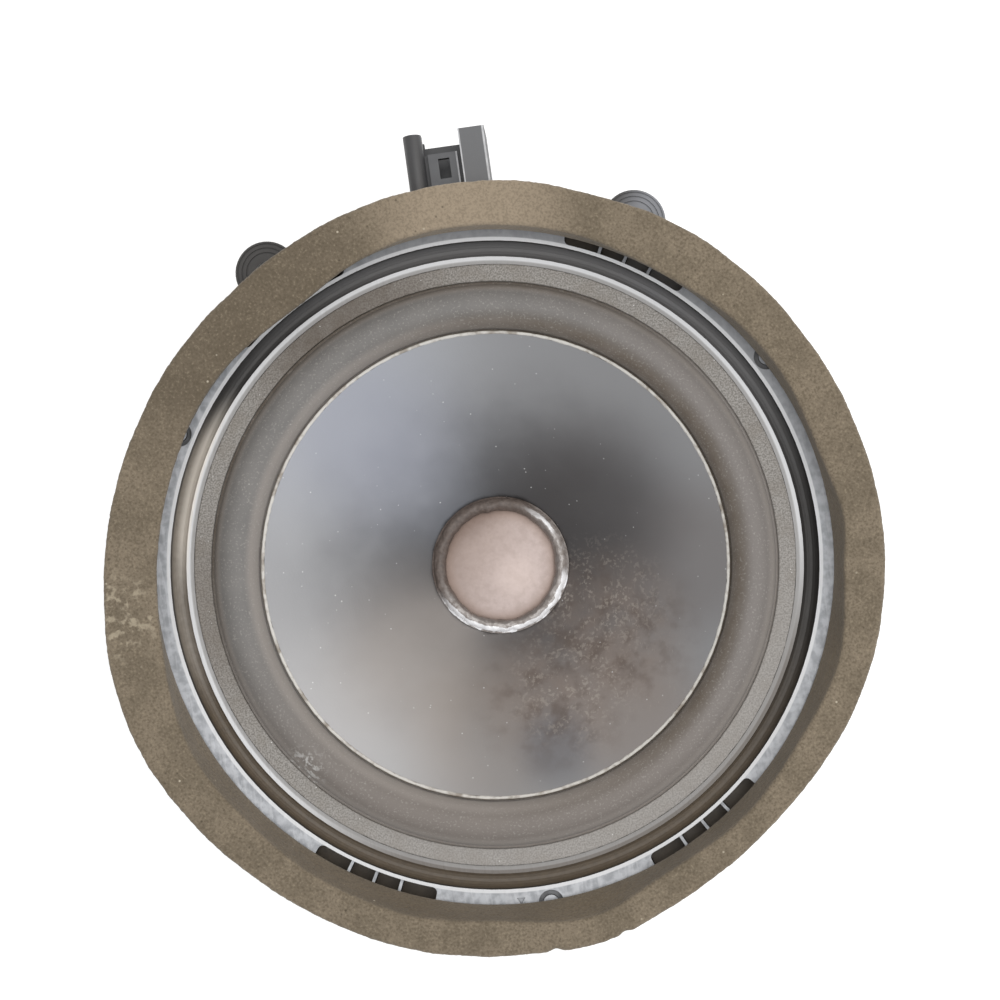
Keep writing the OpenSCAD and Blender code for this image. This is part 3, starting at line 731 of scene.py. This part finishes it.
def make_foam():
    """The hand-fitted foam ring: lopsided, leaning at its front edge, with dents and open cells."""
    turns = 1100
    section = foam_section(rounding=0.9, steps=18)
    across, up, over, lift = section.T
    angles = np.linspace(0, 2 * math.pi, turns, endpoint=False)
    degrees = (np.degrees(angles + LEAN) % 360)[:, None]
    foot, front, outer = foam_sides(degrees)
    inner = foot + (front - foot) * up
    edge = outer - 0.7 * (1 - up)
    radius = inner + (edge - inner) * across + over
    height = FOAM_LOW + (FOAM_TOP - FOAM_LOW) * up + lift
    shift = direction(0) * 0.6
    points = np.stack([
        np.cos(angles)[:, None] * radius + shift.x * up,
        np.sin(angles)[:, None] * radius + shift.y * up,
        np.ones((turns, 1)) * height,
    ], axis=-1)
    loose = np.clip(up * 3, 0, 1)
    dents = waves(points, 11, seed=1, octaves=2) * 0.28
    cells = waves(points, 1.1, seed=2, octaves=3) * 0.13
    points = grow(points, (dents - 0.15) * loose + cells * (0.3 + 0.7 * loose))
    points[..., 2] = np.clip(points[..., 2], FOAM_LOW, FOAM_TOP + 0.3)
    faces = grid_faces(turns, len(section), True)
    piece = make_piece("foam_ring", (points * MM).reshape(-1, 3), faces, crease=75)
    wear(piece, foam_finish())
    place(piece, FRAME_BODY, "foam", "foam_gasket")


def make_surround():
    """Half-roll surround with its landings on the seat and under the cone's edge."""
    roll_mid = (ROLL_MID_R, SEAT_Z)
    inner_z = CONE_EDGE_Z - CONE_T - LANDING_T - 0.05
    lap_r = CONE_R - 3
    lap_z = inner_z - 3 * CONE_RISE
    profile = line((lap_r, lap_z), (57.1, inner_z), 8)
    profile += arc(roll_mid, ROLL_R - ROLL_T, 180, 0, 40)
    profile += line((TRIM_OUT_R, SEAT_Z), (TRIM_OUT_R, SEAT_Z + LANDING_T), 2)
    profile += line((TRIM_OUT_R, SEAT_Z + LANDING_T), (67.1, SEAT_Z + LANDING_T), 5)
    profile += arc(roll_mid, ROLL_R, 10, 180, 48)
    profile += line((56.4, inner_z + LANDING_T), (lap_r, lap_z + LANDING_T), 6)
    profile.append((lap_r, lap_z + LANDING_T))

    def uneven(points):
        points[..., 2] += waves(points, 16, seed=5, octaves=2) * 0.08
        return points

    piece = revolve("surround_roll", profile, 420, uneven, crease=50)
    wear(piece, surround_finish())
    flex(piece, "surround_rubber", 66.9, 56.4, "surround")


def make_trim():
    """Fibre ring that clamps the surround's outer landing, with torn soft edges."""
    low = SEAT_Z + LANDING_T
    soft = 0.3
    edge_r = TRIM_OUT_R + 0.14
    profile = line((TRIM_IN_R, low), (edge_r, low), 6)
    profile += line((edge_r, low), (edge_r, TRIM_TOP - soft), 3)
    profile += arc((edge_r - soft, TRIM_TOP - soft), soft, 0, 90, 5)
    profile += line((edge_r - soft, TRIM_TOP), (TRIM_IN_R + soft, TRIM_TOP), 12)[1:]
    profile += arc((TRIM_IN_R + soft, TRIM_TOP - soft), soft, 90, 180, 5)
    profile += line((TRIM_IN_R, TRIM_TOP - soft), (TRIM_IN_R, low), 3)[1:]

    def torn(points):
        rise = np.clip((points[..., 2] - low) / (TRIM_TOP - low), 0, 1)
        points[..., 2] -= np.abs(waves(points, 0.8, seed=3)) * 0.12 * rise
        return push(points, waves(points, 1.6, seed=4) * 0.06 - 0.03)

    piece = revolve("surround_trim", profile, 900, torn)
    wear(piece, trim_finish())
    place(piece, FRAME_BODY, "gasket_board", "surround_ring")


def make_cone():
    """Drawn aluminium cone with its neck, a little out of true."""
    face = line((CONE_FOOT_R + 0.4, CONE_NECK_Z + 0.05), (CONE_R - 0.1, CONE_EDGE_Z - 0.06), 60)
    profile = line((NECK_R, NECK_LOW), (CONE_FOOT_R, NECK_LOW), 2)
    profile += line((CONE_FOOT_R, NECK_LOW), (CONE_FOOT_R, CONE_NECK_Z - CONE_T), 5)
    profile += line((CONE_FOOT_R, CONE_NECK_Z - CONE_T), (CONE_R, CONE_EDGE_Z - CONE_T), 40)
    profile += [(CONE_R, CONE_EDGE_Z - CONE_T), (CONE_R, CONE_EDGE_Z - 0.12),
                (CONE_R - 0.05, CONE_EDGE_Z - 0.03)]
    profile += list(reversed(face))
    profile += [(CONE_FOOT_R, CONE_NECK_Z), (NECK_R, CONE_NECK_Z)]

    def uneven(points):
        radius = np.linalg.norm(points[..., :2], axis=-1)
        free = np.clip((radius - 18) / 8, 0, 1) * np.clip((54 - radius) / 6, 0, 1)
        points[..., 2] += waves(points, 24, seed=6, octaves=2) * 0.07 * free
        return points

    piece = revolve("cone_shell", profile, 360, uneven, crease=30)
    wear(piece, cone_finish())
    place(piece, CONE_BODY, "cone_aluminium", "cone")


def make_edge_bead():
    """Thin line of glue between the cone's edge and the surround, run on by hand."""
    profile = arc((CONE_R + 0.36, CONE_EDGE_Z + 0.05), 0.44, -150, 190, 16)

    def ragged(points):
        return grow(points, waves(points, 2.2, seed=7) * 0.12 + waves(points, 0.7, seed=8) * 0.06)

    piece = revolve("cone_edge_glue", profile, 900, ragged, crease=60)
    wear(piece, bead_finish())
    place(piece, CONE_BODY, "clear_glue", "cone_edge_bead")


def make_cap():
    """Pressed cloth dome with a short skirt inside the former's mouth."""
    rim_z = FORMER_TOP - 0.2
    rise = CAP_TOP - rim_z
    ball_r = (FORMER_R ** 2 + rise ** 2) / (2 * rise)
    reach = math.degrees(math.asin(FORMER_R / ball_r))
    middle = (0, CAP_TOP - ball_r)
    thick = 0.5
    profile = arc(middle, ball_r, 90, 90 - reach, 26)
    profile += line((FORMER_R, rim_z - 0.4), (FORMER_R, rim_z - 3), 3)
    profile += [(FORMER_R, rim_z - 3), (FORMER_R - thick, rim_z - 3)]
    profile += arc(middle, ball_r - thick, 90 - reach + 1.2, 90, 18)

    def pressed(points):
        radius = np.linalg.norm(points[..., :2], axis=-1)
        free = np.clip((12.5 - radius) / 6, 0, 1)
        points[..., 2] += waves(points, 6, seed=9, octaves=2) * 0.06 * free
        return points

    piece = revolve("dust_cap_cloth", profile, 240, pressed, closed=False, crease=45)
    wear(piece, cap_finish())
    place(piece, CONE_BODY, "cap_cloth", "dust_cap")


def make_ring_glue():
    """Ragged glossy fillet that holds the dust cap to the cone's foot."""
    rise = CAP_TOP - FORMER_TOP + 0.2
    ball_r = (FORMER_R ** 2 + rise ** 2) / (2 * rise)

    def dome_z(radius):
        return CAP_TOP - ball_r + math.sqrt(ball_r ** 2 - radius ** 2)

    middle = (FORMER_R + 0.3, FORMER_TOP + 0.9)
    foot_r = FORMER_R + 2.2
    skin_count = 26
    profile = arc(middle, 1.5, -4, 198, skin_count)
    profile += [(FORMER_R - 0.6, dome_z(FORMER_R - 0.6) + 0.05), (FORMER_R, FORMER_TOP)]
    profile += [(NECK_R, FORMER_TOP), (NECK_R, CONE_NECK_Z), (CONE_FOOT_R, CONE_NECK_Z)]
    profile.append((foot_r, CONE_NECK_Z + (foot_r - CONE_FOOT_R) * CONE_RISE))

    def ragged(points):
        swell = waves(points, 3.2, seed=11, octaves=2) * 0.42
        swell += waves(points, 1.2, seed=12, octaves=1) * 0.1
        swell[:, skin_count:] = 0
        return grow(points, swell)

    piece = revolve("dust_cap_glue", profile, 640, ragged, crease=70)
    wear(piece, glue_finish())
    place(piece, CONE_BODY, "clear_glue", "cap_glue")


def make_spider():
    """Corrugated cloth disc between the former and its ledge."""
    wave = (SPIDER_HIGH - SPIDER_LOW - SPIDER_T) / 2
    middle_z = SPIDER_HIGH - wave
    start = NECK_R + 1.5
    turn = 2 * math.pi * SPIDER_TURNS
    upper = [(start + t * (SPIDER_R - start), middle_z - wave * math.sin(turn * t))
             for t in np.linspace(0, 1, 100)]
    lower = [(r, z - SPIDER_T) for r, z in reversed(upper)]
    profile = [(NECK_R + 0.05, middle_z)] + upper
    profile += [(SPIDER_LAND_R, middle_z), (SPIDER_LAND_R, middle_z - SPIDER_T)]
    profile += lower + [(NECK_R + 0.05, middle_z - SPIDER_T)]
    piece = revolve("spider_cloth_disc", profile, 260, crease=50)
    wear(piece, spider_finish())
    flex(piece, "spider_cloth", SPIDER_R, start, "spider")


# Route of the tinsel lead on the +X side, in millimetres: the same points as in the CAD source
LEAD_ROUTE = [
    (5, 61.2, -0.85), (5, 61.2, -3), (5.3, 59.5, -8), (6.2, 54, -13.5), (7.2, 46, -18),
    (7.5, 37.5, -21.5), (6.5, 29, -23.6), (4.8, 23, -24), (4, 20.4, -24), (4, 17.45, -24),
]
# The blades stand either side of this X, and the route belongs to its blade past this Y
BLADE_MID_X = 1.5
TERMINAL_Y = 58


def smooth_route(route, steps):
    """Points of a Catmull-Rom curve through the route."""
    fixed = [np.array(p, float) for p in route]
    path = []
    for i in range(len(fixed) - 1):
        before, here = fixed[max(i - 1, 0)], fixed[i]
        after, beyond = fixed[i + 1], fixed[min(i + 2, len(fixed) - 1)]
        for t in np.arange(steps) / steps:
            path.append(0.5 * (2 * here + (after - before) * t
                               + (2 * before - 5 * here + 4 * after - beyond) * t ** 2
                               + (3 * here - before - 3 * after + beyond) * t ** 3))
    return path + [fixed[-1]]


def make_lead(side, node, finish):
    """A braided tinsel lead from a terminal to the former, its strands winding both ways."""
    if side > 0:
        route = LEAD_ROUTE
    else:
        route = [(2 * BLADE_MID_X - x if y > TERMINAL_Y else -x, y, z) for x, y, z in LEAD_ROUTE]
    path = smooth_route(route, 24)
    sides = 28
    wire_r, strand_r = 0.55, 0.05
    points = []
    for i, here in enumerate(path):
        ahead = path[min(i + 1, len(path) - 1)] - path[max(i - 1, 0)]
        ahead /= np.linalg.norm(ahead)
        across = np.cross(ahead, (1, 0, 0))
        across /= np.linalg.norm(across)
        other = np.cross(ahead, across)
        for k in range(sides):
            turn = 2 * math.pi * k / sides
            strand = max(math.cos(5 * turn + i * 0.32), math.cos(5 * turn - i * 0.32))
            out = math.cos(turn) * across + math.sin(turn) * other
            points.append(here + (wire_r + strand_r * strand) * out)
    count = len(path)
    faces = []
    for i in range(count - 1):
        near, far = i * sides, (i + 1) * sides
        for k in range(sides):
            after = (k + 1) % sides
            faces.append((near + k, far + k, far + after, near + after))
    faces.append(tuple(range(sides)))
    faces.append(tuple((count - 1) * sides + k for k in range(sides)))
    piece = make_piece(node + "_braid", np.array(points) * MM, faces, crease=80)
    wear(piece, finish)
    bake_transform(piece)
    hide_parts(node)


def make_anchors():
    """Two dabs of black glue that hold the lead ends to the collar."""
    rows, columns = 24, 18
    middle_y, middle_z = 16.35, -24
    points = []
    for side in (-1, 1):
        for i in range(rows):
            for k in range(columns):
                turn, tilt = 2 * math.pi * i / rows, math.pi * (k / (columns - 1) - 0.5)
                ball = Vector((math.cos(turn) * math.cos(tilt), math.sin(tilt),
                               math.sin(turn) * math.cos(tilt)))
                lump = 1 + 0.18 * noise.noise(ball * 1.6 + Vector((side * 3, 0, 0)))
                points.append((side * 4 + 1.5 * lump * ball.x, middle_y + 1.05 * lump * ball.y,
                               middle_z + 1.5 * lump * ball.z))
    half = grid_faces(rows, columns, False)
    faces = half + [tuple(v + rows * columns for v in face) for face in half]
    piece = make_piece("lead_glue_dabs", np.array(points) * MM, faces)
    wear(piece, plain_grain_finish("black_glue_dab", screen(20, 20, 21), screen(40, 38, 38), 1.0, 0.08,
                                   roughness=0.25, specular_ior_level=0.7))
    place(piece, CONE_BODY, "black_glue", "lead_anchors")


def finish_cad_nodes():
    """Better materials for the CAD nodes whose shape is right."""
    steel = steel_finish("plated_steel_turned", screen(150, 152, 156), screen(186, 188, 190))
    finishes = {
        "basket": basket_finish(),
        "foam_tape": plain_grain_finish(
            "tape_film", screen(200, 198, 190), screen(222, 220, 214), 3, 0.02, roughness=0.4),
        "coil_former": plain_grain_finish(
            "former_film_brown", screen(150, 104, 48), screen(186, 138, 74), 4, 0.02,
            roughness=0.3, specular_ior_level=0.6),
        "former_collar": plain_grain_finish(
            "kraft_paper_fibre", screen(128, 98, 60), screen(156, 124, 82), 1.2, 0.08, roughness=0.85),
        "coil_winding": turns_finish(),
        "top_plate": steel,
        "yoke": steel,
        "plate_rivets": steel_finish("rivet_steel", screen(168, 170, 174), screen(204, 206, 208)),
        "magnet": ferrite_finish(),
        "connector_housing": connector_finish(),
        "terminal_left": steel_finish("terminal_tin", screen(132, 128, 116), screen(168, 163, 150)),
        "solder_joints": plain_grain_finish(
            "solder_bead", screen(150, 152, 154), screen(196, 198, 200), 1.0, 0.05,
            metallic=1.0, roughness=0.3),
    }
    finishes["terminal_right"] = finishes["terminal_left"]
    for node, finish in finishes.items():
        wear(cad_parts[node], finish)
    soften(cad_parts["connector_housing"], 0.3)
    soften(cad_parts["terminal_left"], 0.12)
    soften(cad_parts["terminal_right"], 0.12)


# ---------------------------------------------------------------- floor, light and camera

def make_floor():
    """A wide pale floor, 0.2 mm under the motor's back so that the two don't coincide."""
    half = 3.0
    corners = [(-half, -half), (half, -half), (half, half), (-half, half)]
    floor = make_piece("floor", [(x, y, (BACK_Z - 0.2) * MM) for x, y in corners], [(0, 1, 2, 3)])
    f = Finish("pale_floor", roughness=0.9, specular_ior_level=0.1, emission_strength=0.35)
    f.colour((0.9, 0.9, 0.9, 1))
    f.shader.inputs["Emission Color"].default_value = (1, 1, 1, 1)
    wear(floor, f)


def make_light(name, image_degrees, elevation, distance, size, power, tone):
    """A square soft light aimed at the object, placed by its direction in view."""
    lamp = bpy.data.lights.new(name, "AREA")
    lamp.size = size
    lamp.energy = power
    lamp.color = tone
    holder = bpy.data.objects.new(name, lamp)
    tilt = math.radians(elevation)
    spot = direction(math.radians(image_degrees)) * math.cos(tilt) + Vector((0, 0, math.sin(tilt)))
    holder.location = spot * distance
    holder.rotation_euler = (-spot).to_track_quat("-Z", "Y").to_euler()
    bpy.context.scene.collection.objects.link(holder)


def make_world(brightness):
    world = bpy.data.worlds.new("studio")
    world.use_nodes = True
    world.node_tree.nodes["Background"].inputs["Color"].default_value = (brightness,) * 3 + (1,)
    bpy.context.scene.world = world


def make_camera():
    """A camera 400 mm above the flange's front, a little to its right, that looks straight down."""
    right, up = direction(0), direction(math.pi / 2)
    camera = bpy.data.cameras.new("camera")
    camera.lens = 60.8
    camera.sensor_width = 36
    camera.clip_start = 0.01
    # The shift puts the object where it lies in the frame
    camera.shift_x = -0.0908
    camera.shift_y = 0.065
    holder = bpy.data.objects.new("camera", camera)
    holder.matrix_world = Matrix((right, up, (0, 0, 1))).transposed().to_4x4()
    height, aside = 0.4, 0.0227
    holder.location = Vector((0, 0, FLANGE_TOP * MM + height)) + right * aside
    bpy.context.scene.collection.objects.link(holder)
    bpy.context.scene.camera = holder


make_camera()
make_floor()
make_world(0.62)
make_light("overhead", 20, 78, 1.2, 1.0, 6.6, (1.0, 0.99, 0.98))
make_light("cool_side", -48, 36, 0.9, 0.75, 1.7, (0.86, 0.92, 1.0))
make_light("warm_side", 52, 34, 0.9, 0.75, 1.35, (1.0, 0.95, 0.88))
bpy.context.scene.view_settings.view_transform = "Standard"

make_foam()
make_surround()
make_trim()
make_cone()
make_edge_bead()
make_cap()
make_ring_glue()
make_spider()
braid = braid_finish()
make_lead(-1, "tinsel_lead_left", braid)
make_lead(1, "tinsel_lead_right", braid)
make_anchors()
finish_cad_nodes()
